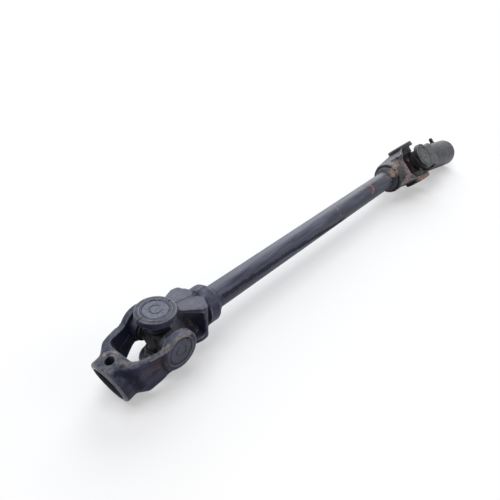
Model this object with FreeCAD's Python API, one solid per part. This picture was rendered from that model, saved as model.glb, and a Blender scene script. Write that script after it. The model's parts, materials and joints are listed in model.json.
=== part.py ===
import FreeCAD, Part
import math
import os

# Short propeller shaft with a universal joint at each end, in millimetres and degrees.
# A solid bar carries a forged yoke at each end. A cross with four bearing cups hangs in
# each yoke and carries the outer yoke: a splined end yoke in front, with a hole for a
# cross pin, and a long splined slip yoke at the rear, with a grease nipple.
# The shaft lies along X, the front joint at low X, and it rests on the floor at Z = 0.

os.makedirs("parts", exist_ok=True)

V = FreeCAD.Vector

# The shaft and where the two joints are.
shaft_diameter = 25.4
joint_spacing = 507.0
shaft_end_chamfer = 1.0

# How the assembly lies: twist of the rear yoke against the front one, the bend of the
# front joint, and the sideways swing of the rear joint. Its bend follows from the floor.
yoke_phase = 44.0
front_bend = 16.0
rear_swing = 3.2

# The joint kit: cross, needle rollers, bearing cups, seals and retaining rings.
cup_diameter = 27.0
cup_length = 14.5
cup_face = 29.5
cup_floor = 3.2
cup_edge = 0.8
cup_mark_radius = 5.9
cup_mark_width = 0.9
cup_mark_depth = 0.4
trunnion_diameter = 14.4
trunnion_end_gap = 0.3
trunnion_chamfer = 0.8
roller_diameter = 3.0
roller_length = 9.5
roller_gap = 0.03
cross_body_radius = 10.2
cross_shoulder = 12.2
cross_centre_radius = 13.0
grease_way_diameter = 4.0
grease_way_depth = 9.0
seal_outer_radius = 11.9
seal_gap = 0.3
seal_fit_gap = 0.05
ring_width = 0.9
ring_depth = 0.8
ring_inset = 1.2
ring_fit_gap = 0.06
ring_opening = 26.0
ring_turn = 60.0

# The ears of every yoke.
ear_face = 30.6
ear_thickness = 7.2
ear_radius = 19.0
ear_draft = 0.5
ear_chamfer = 0.8

# The forged yokes have a low ridge of flash where the dies met.
flash_height = 0.4
flash_width = 1.2

# The forgings' sweeps and corners, as radii of their outlines.
arm_sweep = 8.0
back_sweep = 10.0
back_fall = 1.2
window_top_sweep = 6.0
window_crotch_sweep = 7.5
waist_sweep = 11.0
flare_sweep = 7.0
back_corner = 4.0
pinch_corner = 1.5
shoulder_sweep = 6.0
shoulder_rise = 2.5
hub_blend = 2.0
rim_rounding = 1.2

# The front yoke of the shaft.
front_yoke_crotch = 39.5
front_yoke_back = 44.8
front_yoke_waist = 11.6
front_yoke_flare = 21.0
front_yoke_arm_outer = 19.4
front_yoke_arm_inner = 13.5
front_yoke_corner = 28.0
front_collar_start = 49.4
front_collar_radius = 19.7
front_collar_end = 63.6

# The rear yoke of the shaft, a longer and heavier forging.
rear_yoke_crotch = 43.5
rear_yoke_back = 50.0
rear_yoke_waist = 12.4
rear_yoke_flare = 22.4
rear_yoke_arm_outer = 21.0
rear_yoke_arm_inner = 14.4
rear_yoke_corner = 29.6
rear_collar_start = 54.6
rear_collar_radius = 21.4
rear_collar_end = 71.0

# Both collars: the pinched neck in front of them, their chamfer and the bar's socket.
neck_pinch = 4.6
collar_chamfer = 1.6
socket_wall = 4.1

# The front end yoke.
end_yoke_crotch = 36.5
end_yoke_back = 45.5
end_yoke_waist = 14.2
end_yoke_flare = 19.0
end_yoke_arm_outer = 25.8
end_yoke_arm_inner = 17.0
end_yoke_corner = 29.4
end_shoulder_run = 2.0
end_hub_radius = 22.4
end_hub_end = 58.8
end_bore_radius = 15.9
end_bore_lead = 7.0
end_spline_depth = 1.2
end_spline_teeth = 27
end_hub_chamfer = 1.2
pin_hole_diameter = 8.0
pin_hole_place = 47.6
pin_hole_chamfer = 1.0

# The rear slip yoke.
slip_yoke_crotch = 41.0
slip_yoke_back = 50.0
slip_yoke_waist = 13.6
slip_yoke_flare = 19.0
slip_yoke_arm_outer = 25.0
slip_yoke_arm_inner = 16.6
slip_yoke_corner = 28.6
slip_shoulder_run = 4.0
slip_flash_run = 12.0
slip_hub_radius = 20.8
slip_hub_end = 127.0
slip_bore_radius = 13.6
slip_bore_lead = 10.0
slip_spline_radius = 12.7
slip_spline_depth = 1.2
slip_spline_teeth = 22
slip_hub_chamfer = 1.5
plug_radius = 14.2
plug_thickness = 1.8
plug_seat_depth = 3.2

# The grease nipple on the slip yoke.
nipple_place = 106.0
nipple_thread_diameter = 6.0
nipple_hex = 7.0
nipple_hex_height = 3.0
nipple_neck_diameter = 4.2
nipple_head_diameter = 6.4
nipple_height = 10.5
nipple_spot_diameter = 9.6
nipple_spot_depth = 0.6

big = 4.0 * ear_face


def rounded_wire(corners, lift):
    """Closed wire through corners (a, b, radius), each corner rounded by its radius."""
    edges = []
    ends = []
    count = len(corners)
    for index in range(count):
        a, b, radius = corners[index]
        here = V(a, b, 0)
        before = V(corners[index - 1][0], corners[index - 1][1], 0) - here
        after = V(corners[(index + 1) % count][0], corners[(index + 1) % count][1], 0) - here
        before.normalize()
        after.normalize()
        if radius == 0 or (before + after).Length < 1e-6:
            ends.append((here, None, here))
            continue
        half = before.getAngle(after) / 2
        reach = radius / math.tan(half)
        middle = before + after
        middle.normalize()
        sag = radius / math.sin(half) - radius
        ends.append((here + before * reach, here + middle * sag, here + after * reach))
    for index in range(count):
        start, middle, end = ends[index]
        if middle is not None:
            edges.append(Part.Arc(lift(start), lift(middle), lift(end)).toShape())
        following = ends[(index + 1) % count][0]
        if (following - end).Length > 1e-6:
            edges.append(Part.LineSegment(lift(end), lift(following)).toShape())
    return Part.Wire(edges)


def side_prism(corners):
    """Prism of an outline drawn in the XZ plane, as wide as any yoke."""
    wire = rounded_wire(corners, lambda p: V(p.x, -big / 2, p.y))
    return Part.Face(wire).extrude(V(0, big, 0))


def plan_prism(corners):
    """Prism of an outline drawn in the XY plane, as high as any yoke."""
    wire = rounded_wire(corners, lambda p: V(p.x, p.y, -big / 2))
    return Part.Face(wire).extrude(V(0, 0, big))


def turned(corners):
    """Solid turned about X from an outline of (x, radius, corner radius)."""
    wire = rounded_wire(corners, lambda p: V(p.x, 0, p.y))
    return Part.Face(wire).revolve(V(0, 0, 0), V(1, 0, 0), 360)


def mirrored_outline(upper):
    """Closed outline from its upper half, which starts and ends on the centre line's sides."""
    lower = [(a, -b, radius) for a, b, radius in reversed(upper)]
    return upper + lower


def both_ends(shape):
    """The shape and its copy turned half round about X."""
    other = shape.copy()
    other.rotate(V(0, 0, 0), V(1, 0, 0), 180)
    return [shape, other]


def ear():
    """One ear's boss along +Z, a little wider at its foot, with its rim chamfered."""
    foot = ear_face - ear_thickness
    cone = Part.makeCone(ear_radius + ear_draft, ear_radius, ear_thickness - ear_chamfer, V(0, 0, foot))
    rim = Part.makeCone(
        ear_radius, ear_radius - ear_chamfer, ear_chamfer, V(0, 0, ear_face - ear_chamfer)
    )
    return cone.fuse(rim)


def ear_bore():
    """Tool for one ear: the bore for a bearing cup and the groove for its ring."""
    bore = Part.makeCylinder(cup_diameter / 2, big, V(0, 0, 0))
    groove = Part.makeCylinder(
        cup_diameter / 2 + ring_depth, ring_width + ring_fit_gap, V(0, 0, cup_face)
    )
    return bore.fuse(groove)


def forged_arms(
    crotch, shoulder, back, waist, flare, outer, inner, corner, pinch, hub_start, hub_radius, hub_end
):
    """Arms and back of a yoke: arms along Z, hub towards +X, with the joint centre at the origin.

    The window between the arms is round at its crotch. The arms are narrowest beside the ears,
    flare out to the back, and run on at a pinched neck into the hub. A ridge of flash runs along
    the middle of the arms and the hub.
    """
    foot = ear_face - ear_thickness
    top = ear_face - ear_chamfer - flash_height
    hub_front = hub_start + 1
    raised = flash_height
    side = [
        (0, top, 0),
        (waist, top, 0),
        (ear_radius, outer + 0.45 * (ear_face - outer), arm_sweep),
        (crotch, outer, back_sweep),
        (hub_front, outer - back_fall, 0),
    ]
    window = [
        (-big, foot, 0),
        (waist - 2, foot, window_top_sweep),
        (crotch, inner, window_crotch_sweep),
    ]
    plan = [
        (-ear_radius / 2, waist, 0),
        (ear_radius - 1, waist, waist_sweep),
        (crotch - 3.5, flare, flare_sweep),
        (back - 0.5, flare, back_corner),
        (back + 1, pinch, pinch_corner),
        (hub_front, pinch, 0),
    ]
    envelope = [
        (ear_radius, corner + shoulder_rise, 0),
        (shoulder, corner, shoulder_sweep),
        (hub_front, min(hub_radius, corner) - 0.5, hub_blend),
        (hub_front, 0, 0),
    ]
    opening = side_prism(mirrored_outline(window))
    arms = side_prism(mirrored_outline(side)).common(plan_prism(mirrored_outline(plan)))
    arms = arms.common(turned_blank(envelope)).cut(opening).removeSplitter()
    arms = arms.makeFillet(rim_rounding, window_rims(arms, opening))
    ridge = side_prism(mirrored_outline([(a, b + raised, radius) for a, b, radius in side]))
    ridge = ridge.common(turned_blank([(a, b + raised if b > 0 else 0, radius) for a, b, radius in envelope]))
    ridge = ridge.fuse(Part.makeCylinder(hub_radius + raised, hub_end - back, V(back, 0, 0), V(1, 0, 0)))
    ridge = ridge.common(Part.makeBox(big, flash_width, big, V(0, -flash_width / 2, -big / 2)))
    return arms.fuse(ridge.cut(opening))


def turned_blank(corners):
    """Turned envelope of a forging, left wide open round its ears."""
    front = [(-big, 0, 0), (-big, big / 2, 0), (ear_radius, big / 2, 0)]
    return turned(front + corners)


def window_rims(arms, opening):
    """Edges that the window leaves along the sides of the arms and round the crotch."""
    wall = opening.Shells[0]
    rims = []
    for edge in arms.Edges:
        middle = edge.valueAt((edge.FirstParameter + edge.LastParameter) / 2)
        beside = middle.x > 0.5 and abs(middle.y) > ear_thickness
        if beside and wall.distToShape(Part.Vertex(middle))[0] < 0.001:
            rims.append(edge)
    return rims


def finish_yoke(arms, hub, holes):
    """Join arms, ears and hub, then cut the bores of the ears and the given holes."""
    body = arms.fuse(both_ends(ear()) + [hub])
    body = body.cut(both_ends(ear_bore()) + holes)
    return body.removeSplitter()


def spline_tool(start, length, major, depth, teeth):
    """Bore with straight-sided teeth, from x = start."""
    minor = major - depth
    step = 360.0 / teeth
    points = []
    for tooth in range(teeth):
        for share, radius in ((0.0, major), (0.42, major), (0.5, minor), (0.92, minor)):
            angle = math.radians((tooth + share) * step)
            points.append(V(start, radius * math.cos(angle), radius * math.sin(angle)))
    points.append(points[0])
    return Part.Face(Part.makePolygon(points)).extrude(V(length, 0, 0))


def shaft_yoke(crotch, back, waist, flare, outer, inner, corner, hub_start, hub_radius, hub_end):
    """Yoke at an end of the shaft, with the socket that the bar is set into."""
    pinch = hub_radius - neck_pinch
    flat = hub_end - collar_chamfer
    arms = forged_arms(
        crotch, back - 1.5, back, waist, flare, outer, inner, corner, pinch, hub_start, hub_radius, flat
    )
    hub = turned([
        (crotch, 0, 0),
        (crotch, pinch - 1, 0),
        (back, pinch, 1.2),
        (hub_start, pinch, 1.2),
        (hub_start + 1, hub_radius, 0),
        (flat, hub_radius, 0),
        (hub_end, hub_radius - collar_chamfer, 0),
        (hub_end, 0, 0),
    ])
    bottom = crotch + socket_wall
    socket = Part.makeCylinder(shaft_diameter / 2, hub_end - bottom, V(bottom, 0, 0), V(1, 0, 0))
    return finish_yoke(arms, hub, [socket])


def hub_blank(crotch, radius, end, chamfer):
    """Plain turned hub from the crotch to its open end."""
    return turned([
        (crotch, 0, 0),
        (crotch, radius - 4, 0),
        (crotch + 6, radius, 4),
        (end - chamfer, radius, 0),
        (end, radius - chamfer, 0),
        (end, 0, 0),
    ])


def end_yoke():
    """Front yoke: a short splined hub with a pin hole across it."""
    arms = forged_arms(
        end_yoke_crotch, end_yoke_crotch + end_shoulder_run, end_yoke_back, end_yoke_waist, end_yoke_flare,
        end_yoke_arm_outer, end_yoke_arm_inner, end_yoke_corner,
        end_yoke_flare, end_yoke_back + 2, end_hub_radius, end_hub_end - end_hub_chamfer,
    )
    hub = hub_blank(end_yoke_crotch, end_hub_radius, end_hub_end, end_hub_chamfer)
    lead_start = end_hub_end - end_bore_lead
    lead = Part.makeCylinder(end_bore_radius, end_bore_lead, V(lead_start, 0, 0), V(1, 0, 0))
    spline = spline_tool(
        end_yoke_crotch - 1, lead_start - end_yoke_crotch + 1,
        end_bore_radius, end_spline_depth, end_spline_teeth,
    )
    pin = Part.makeCylinder(pin_hole_diameter / 2, big, V(pin_hole_place, -big / 2, 0), V(0, 1, 0))
    sinks = []
    for side in (-1, 1):
        outer_radius = pin_hole_diameter / 2 + pin_hole_chamfer
        foot = end_hub_radius - pin_hole_chamfer
        sinks.append(Part.makeCone(
            pin_hole_diameter / 2, outer_radius + 1, pin_hole_chamfer + 1,
            V(pin_hole_place, side * foot, 0), V(0, side, 0),
        ))
    return finish_yoke(arms, hub, [lead, spline, pin] + sinks)


def slip_yoke():
    """Rear yoke: a long splined hub, closed at the crotch by a plug."""
    arms = forged_arms(
        slip_yoke_crotch, slip_yoke_crotch + slip_shoulder_run, slip_yoke_back, slip_yoke_waist, slip_yoke_flare,
        slip_yoke_arm_outer, slip_yoke_arm_inner, slip_yoke_corner,
        slip_yoke_flare, slip_yoke_back + 2, slip_hub_radius, slip_yoke_back + slip_flash_run,
    )
    hub = hub_blank(slip_yoke_crotch, slip_hub_radius, slip_hub_end, slip_hub_chamfer)
    seat = Part.makeCylinder(
        plug_radius, plug_seat_depth, V(slip_yoke_crotch, 0, 0), V(1, 0, 0)
    )
    lead_start = slip_hub_end - slip_bore_lead
    lead = Part.makeCylinder(slip_bore_radius, slip_bore_lead, V(lead_start, 0, 0), V(1, 0, 0))
    spline = spline_tool(
        slip_yoke_crotch, lead_start - slip_yoke_crotch,
        slip_spline_radius, slip_spline_depth, slip_spline_teeth,
    )
    hole = Part.makeCylinder(nipple_thread_diameter / 2, big, V(nipple_place, 0, 0), V(0, 1, 0))
    spot = Part.makeCylinder(
        nipple_spot_diameter / 2, big, V(nipple_place, slip_hub_radius - nipple_spot_depth, 0), V(0, 1, 0)
    )
    return finish_yoke(arms, hub, [seat, lead, spline, hole, spot])


def slip_plug():
    """Dished plug pressed into its seat at the slip yoke's crotch."""
    bottom = slip_yoke_crotch + plug_seat_depth
    dish = 1.2
    return turned([
        (bottom - plug_thickness - dish, 0, 0),
        (bottom - plug_thickness - dish, plug_radius * 0.4, 5),
        (bottom - plug_thickness, plug_radius * 0.9, 0),
        (bottom - plug_thickness, plug_radius, 0),
        (bottom, plug_radius, 0),
        (bottom, 0, 0),
    ])


def grease_nipple():
    """Nipple standing along +Y in a spot face on the slip yoke's hub."""
    seat = slip_hub_radius - nipple_spot_depth
    foot = V(nipple_place, 0, 0)
    up = V(0, 1, 0)
    stem_start = slip_spline_radius + 1.0
    stem = Part.makeCylinder(
        nipple_thread_diameter / 2, seat - stem_start, foot + up * stem_start, up
    )
    corner = nipple_hex / math.sqrt(3)
    points = []
    for index in range(7):
        angle = math.radians(60 * index)
        points.append(foot + up * seat + V(corner * math.cos(angle), 0, corner * math.sin(angle)))
    nut = Part.Face(Part.makePolygon(points)).extrude(up * nipple_hex_height)
    nut_top = seat + nipple_hex_height
    top = seat + nipple_height
    head_radius = nipple_head_diameter / 2
    neck = Part.makeCylinder(nipple_neck_diameter / 2, top - head_radius - nut_top, foot + up * nut_top, up)
    head = Part.makeSphere(head_radius, foot + up * (top - head_radius))
    crown = Part.makeCylinder(head_radius + 1, head_radius, foot + up * (top - 0.7), up)
    way = Part.makeCylinder(0.7, nipple_height, foot + up * (top - 3.0), up)
    return stem.fuse([nut, neck, head]).cut([crown, way])


def cross():
    """Cross with four trunnions, along Y and Z, drilled for grease."""
    length = trunnion_half_length()
    radius = trunnion_diameter / 2
    body = Part.makeSphere(cross_centre_radius)
    arms = []
    ways = []
    for direction in (V(0, 1, 0), V(0, -1, 0), V(0, 0, 1), V(0, 0, -1)):
        arms.append(Part.makeCylinder(cross_body_radius, cross_shoulder, V(0, 0, 0), direction))
        arms.append(Part.makeCylinder(radius, length - trunnion_chamfer, V(0, 0, 0), direction))
        arms.append(Part.makeCone(
            radius, radius - trunnion_chamfer, trunnion_chamfer,
            direction * (length - trunnion_chamfer), direction,
        ))
        ways.append(Part.makeCylinder(
            grease_way_diameter / 2, grease_way_depth, direction * (length - grease_way_depth), direction
        ))
    flats = Part.makeBox(
        2 * cross_body_radius, big, big, V(-cross_body_radius, -big / 2, -big / 2)
    )
    square = Part.makeBox(
        big, 2 * cross_shoulder, 2 * cross_shoulder, V(-big / 2, -cross_shoulder, -cross_shoulder)
    )
    body = body.common(flats).common(square)
    return body.fuse(arms).cut(ways).removeSplitter()


def trunnion_half_length():
    """Joint centre to a trunnion's end, just short of the floor of its cup."""
    return cup_face - cup_floor - trunnion_end_gap


def cup_bore_radius():
    """Radius of the track that the needle rollers run on."""
    return trunnion_diameter / 2 + roller_diameter + 2 * roller_gap


def bearing_cup():
    """Cup on the +Z trunnion, its closed face outwards."""
    radius = cup_diameter / 2
    mouth = cup_face - cup_length
    shell = Part.makeCylinder(radius, cup_length - cup_edge, V(0, 0, mouth))
    rim = Part.makeCone(radius, radius - cup_edge, cup_edge, V(0, 0, cup_face - cup_edge))
    track = Part.makeCylinder(cup_bore_radius(), cup_length - cup_floor, V(0, 0, mouth))
    mark = Part.makeCylinder(cup_mark_radius, cup_mark_depth, V(0, 0, cup_face - cup_mark_depth))
    island = Part.makeCylinder(
        cup_mark_radius - cup_mark_width, cup_mark_depth, V(0, 0, cup_face - cup_mark_depth)
    )
    return shell.fuse(rim).cut([track, mark.cut(island)])


def needle_rollers():
    """Full ring of rollers between the +Z trunnion and its cup."""
    pitch = trunnion_diameter / 2 + roller_gap + roller_diameter / 2
    count = int(math.pi / math.asin((roller_diameter / 2 + roller_gap / 4) / pitch))
    top = cup_face - cup_floor - trunnion_end_gap
    rollers = []
    for index in range(count):
        angle = 2 * math.pi * index / count
        place = V(pitch * math.cos(angle), pitch * math.sin(angle), top - roller_length)
        rollers.append(Part.makeCylinder(roller_diameter / 2, roller_length, place))
    return Part.makeCompound(rollers)


def trunnion_seal():
    """Rubber seal on the +Z trunnion, between the cross's shoulder and the cup's mouth."""
    mouth = cup_face - cup_length
    height = mouth - seal_gap - cross_shoulder
    ring = Part.makeCylinder(seal_outer_radius, height, V(0, 0, cross_shoulder))
    hole = Part.makeCylinder(trunnion_diameter / 2 + seal_fit_gap, height, V(0, 0, cross_shoulder))
    return ring.cut(hole)


def retaining_ring():
    """Snap ring in the groove outside the +Z cup, with its gap turned by ring_turn."""
    outer = cup_diameter / 2 + ring_depth - ring_fit_gap
    inner = cup_diameter / 2 - ring_inset
    ring = Part.makeCylinder(outer, ring_width, V(0, 0, cup_face))
    ring = ring.cut(Part.makeCylinder(inner, ring_width, V(0, 0, cup_face)))
    half = math.radians(ring_opening / 2)
    reach = 2 * outer
    wedge = Part.makePolygon([
        V(0, 0, cup_face),
        V(reach, -reach * math.tan(half), cup_face),
        V(reach, reach * math.tan(half), cup_face),
        V(0, 0, cup_face),
    ])
    ring = ring.cut(Part.Face(wedge).extrude(V(0, 0, ring_width)))
    ring.rotate(V(0, 0, 0), V(0, 0, 1), ring_turn)
    return ring


def shaft_bar():
    """The bar, set into the socket of each yoke."""
    radius = shaft_diameter / 2
    start = front_yoke_crotch + socket_wall
    end = joint_spacing - rear_yoke_crotch - socket_wall
    return turned([
        (start, 0, 0),
        (start, radius - shaft_end_chamfer, 0),
        (start + shaft_end_chamfer, radius, 0),
        (end - shaft_end_chamfer, radius, 0),
        (end, radius - shaft_end_chamfer, 0),
        (end, 0, 0),
    ])


def place_axes(origin, x_axis, z_axis):
    """Placement that takes X and Z of a piece's own frame to the given directions."""
    y_axis = z_axis.cross(x_axis)
    matrix = FreeCAD.Matrix(
        x_axis.x, y_axis.x, z_axis.x, origin.x,
        x_axis.y, y_axis.y, z_axis.y, origin.y,
        x_axis.z, y_axis.z, z_axis.z, origin.z,
        0, 0, 0, 1,
    )
    return FreeCAD.Placement(matrix)


def turn_about(vector, axis, angle):
    """The vector turned about the axis by degrees."""
    return FreeCAD.Rotation(axis, angle).multVec(vector)


def rear_bend():
    """Bend of the rear joint that lays the slip yoke's end on the floor under the front hub."""
    bend = math.radians(front_bend)
    height = end_hub_end * math.sin(bend) + end_hub_radius_at_rim() * math.cos(bend)
    rim = slip_hub_radius - slip_hub_chamfer
    dip = math.asin(height / math.hypot(slip_hub_end, rim)) - math.atan2(rim, slip_hub_end)
    swing = math.sin(math.radians(rear_swing)) * math.sin(math.radians(yoke_phase))
    lean = math.cos(math.radians(yoke_phase))
    size = math.hypot(swing, lean)
    return math.degrees(math.asin(math.sin(dip) / size) - math.atan2(swing, lean))


def end_hub_radius_at_rim():
    """Radius of the front hub where its rim touches the floor."""
    return end_hub_radius - end_hub_chamfer


# Directions at each joint: the axis of the shaft's yoke, the axis of the outer yoke and
# the way its hub points.
front_centre = V(0, 0, 0)
front_inner_axis = V(0, 0, 1)
front_outer_axis = V(0, -1, 0)
front_hub_way = turn_about(V(-1, 0, 0), front_outer_axis, front_bend)

rear_centre = V(joint_spacing, 0, 0)
rear_inner_axis = turn_about(V(0, 0, 1), V(1, 0, 0), -yoke_phase)
rear_outer_axis = turn_about(turn_about(V(0, -1, 0), V(1, 0, 0), -yoke_phase), rear_inner_axis, rear_swing)
straight_way = turn_about(V(1, 0, 0), rear_inner_axis, rear_swing)
rear_hub_way = turn_about(straight_way, rear_outer_axis, -rear_bend())

pieces = {}


def add(name, shape, placement):
    """Keep a placed copy of the shape under its node's name."""
    placed = shape.copy()
    placed.transformShape(placement.toMatrix(), True)
    pieces[name] = placed


def add_joint(end, centre, inner_axis, outer_axis, inner_way):
    """Add one joint's cross and, on each of its four trunnions, cup, rollers, seal and ring."""
    across = inner_axis.cross(outer_axis)
    add(end + "_cross", cross_shape, place_axes(centre, across, inner_axis))
    trunnions = (
        ("upper", inner_axis, inner_way),
        ("lower", inner_axis * -1, inner_way),
        ("near", outer_axis, across),
        ("far", outer_axis * -1, across),
    )
    for side, axis, way in trunnions:
        placement = place_axes(centre, way, axis)
        add(end + "_bearing_cup_" + side, cup_shape, placement)
        add(end + "_needle_rollers_" + side, rollers_shape, placement)
        add(end + "_trunnion_seal_" + side, seal_shape, placement)
        add(end + "_retaining_ring_" + side, ring_shape, placement)


cross_shape = cross()
cup_shape = bearing_cup()
rollers_shape = needle_rollers()
seal_shape = trunnion_seal()
ring_shape = retaining_ring()
front_yoke_shape = shaft_yoke(
    front_yoke_crotch, front_yoke_back, front_yoke_waist, front_yoke_flare, front_yoke_arm_outer,
    front_yoke_arm_inner, front_yoke_corner, front_collar_start, front_collar_radius, front_collar_end,
)
rear_yoke_shape = shaft_yoke(
    rear_yoke_crotch, rear_yoke_back, rear_yoke_waist, rear_yoke_flare, rear_yoke_arm_outer,
    rear_yoke_arm_inner, rear_yoke_corner, rear_collar_start, rear_collar_radius, rear_collar_end,
)

add("shaft", shaft_bar(), place_axes(front_centre, V(1, 0, 0), front_inner_axis))
add("front_shaft_yoke", front_yoke_shape, place_axes(front_centre, V(1, 0, 0), front_inner_axis))
add("rear_shaft_yoke", rear_yoke_shape, place_axes(rear_centre, V(-1, 0, 0), rear_inner_axis))
add("front_end_yoke", end_yoke(), place_axes(front_centre, front_hub_way, front_outer_axis))
rear_place = place_axes(rear_centre, rear_hub_way, rear_outer_axis)
add("rear_slip_yoke", slip_yoke(), rear_place)
add("slip_yoke_plug", slip_plug(), rear_place)
add("grease_nipple", grease_nipple(), rear_place)
add_joint("front", front_centre, front_inner_axis, front_outer_axis, V(1, 0, 0))
add_joint("rear", rear_centre, rear_inner_axis, rear_outer_axis, V(-1, 0, 0))

# The origin is under the middle of the assembly, on the floor.
box = Part.makeCompound(list(pieces.values())).optimalBoundingBox(False, False)
shift = V(-box.Center.x, -box.Center.y, -box.ZMin)

for name, shape in pieces.items():
    shape.translate(shift)
    shape.exportStep("parts/" + name + ".step")
    print("piece", name, "solids", len(shape.Solids), "valid", shape.isValid(), "volume", round(shape.Volume, 1))


def show(label, point, way):
    """Print a place in the finished frame and a direction there."""
    place = point + shift
    print("place", label, round(place.x, 4), round(place.y, 4), round(place.z, 4),
          "way", round(way.x, 6), round(way.y, 6), round(way.z, 6))


show("front_inner_axis", front_centre, front_inner_axis)
show("front_outer_axis", front_centre, front_outer_axis)
show("rear_inner_axis", rear_centre, rear_inner_axis)
show("rear_outer_axis", rear_centre, rear_outer_axis)
show("front_bore_mouth", front_centre + front_hub_way * end_hub_end, front_hub_way)
pin_way = front_hub_way.cross(front_outer_axis)
show("pin_hole_middle", front_centre + front_hub_way * pin_hole_place, pin_way)
show("rear_bore_mouth", rear_centre + rear_hub_way * slip_hub_end, rear_hub_way)
print("rear bend", round(rear_bend(), 3), "box", round(box.XLength, 2), round(box.YLength, 2), round(box.ZLength, 2))
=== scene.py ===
import json
import math

import bmesh
import bpy
import numpy as np
from mathutils import Matrix, Vector

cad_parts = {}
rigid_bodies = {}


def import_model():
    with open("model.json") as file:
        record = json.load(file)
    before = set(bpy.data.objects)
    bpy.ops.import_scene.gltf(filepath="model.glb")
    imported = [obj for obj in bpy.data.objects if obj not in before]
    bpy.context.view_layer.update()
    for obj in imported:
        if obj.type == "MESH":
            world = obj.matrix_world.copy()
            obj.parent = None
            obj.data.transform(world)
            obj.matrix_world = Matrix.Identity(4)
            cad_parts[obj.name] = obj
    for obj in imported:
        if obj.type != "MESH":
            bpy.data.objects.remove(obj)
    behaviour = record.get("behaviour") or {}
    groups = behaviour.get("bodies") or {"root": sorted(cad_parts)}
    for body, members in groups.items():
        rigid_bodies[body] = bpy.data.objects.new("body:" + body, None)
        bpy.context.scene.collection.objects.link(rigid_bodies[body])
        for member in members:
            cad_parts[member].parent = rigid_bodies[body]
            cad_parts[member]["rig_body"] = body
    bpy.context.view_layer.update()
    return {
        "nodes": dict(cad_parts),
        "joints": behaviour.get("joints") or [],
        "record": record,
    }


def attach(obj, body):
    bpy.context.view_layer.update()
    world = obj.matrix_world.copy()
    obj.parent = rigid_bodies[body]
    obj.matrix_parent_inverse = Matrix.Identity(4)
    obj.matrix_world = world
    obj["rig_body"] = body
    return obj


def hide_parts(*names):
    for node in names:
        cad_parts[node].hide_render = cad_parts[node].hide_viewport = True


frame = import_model()
cadNodes = frame["nodes"]
joints = {joint["name"]: joint for joint in frame["joints"]}
mounts = {mount["name"]: mount for mount in frame["record"]["mounts"]}
print("frame loaded:", len(cadNodes), "nodes")

# where each end's joint sits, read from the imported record
ends = {}
for end, bore in (("front", "end_yoke_bore"), ("rear", "slip_yoke_bore")):
    ends[end] = {
        "centre": np.array(joints[end + "_cross_swing"]["pos_m"]),
        "innerAxis": np.array(joints[end + "_cross_swing"]["axis"]),
        "outerAxis": np.array(joints[end + "_yoke_bend"]["axis"]),
        "hubWay": np.array(mounts[bore]["axis"]),
        "boreMouth": np.array(mounts[bore]["pos_m"]),
    }


class Wire:
    # one output socket of a shader tree; arithmetic on it adds Math nodes
    def __init__(self, bench, socket):
        self.bench = bench
        self.socket = socket

    def sum(self, operation, *values):
        return self.bench.put("ShaderNodeMath", {"operation": operation}, dict(enumerate(values)))

    def __add__(self, other):
        return self.sum("ADD", self, other)

    def __radd__(self, other):
        return self.sum("ADD", other, self)

    def __sub__(self, other):
        return self.sum("SUBTRACT", self, other)

    def __rsub__(self, other):
        return self.sum("SUBTRACT", other, self)

    def __mul__(self, other):
        return self.sum("MULTIPLY", self, other)

    def __rmul__(self, other):
        return self.sum("MULTIPLY", other, self)

    def __abs__(self):
        return self.sum("ABSOLUTE", self)

    def most(self, other):
        return self.sum("MAXIMUM", self, other)

    def step(self, low, high):
        # 0 below low, 1 above high, a smooth rise between; low may be the larger
        values = {0: self, 1: low, 2: high, 3: 0.0, 4: 1.0}
        return self.bench.put("ShaderNodeMapRange", {"interpolation_type": "SMOOTHSTEP"}, values)


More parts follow.
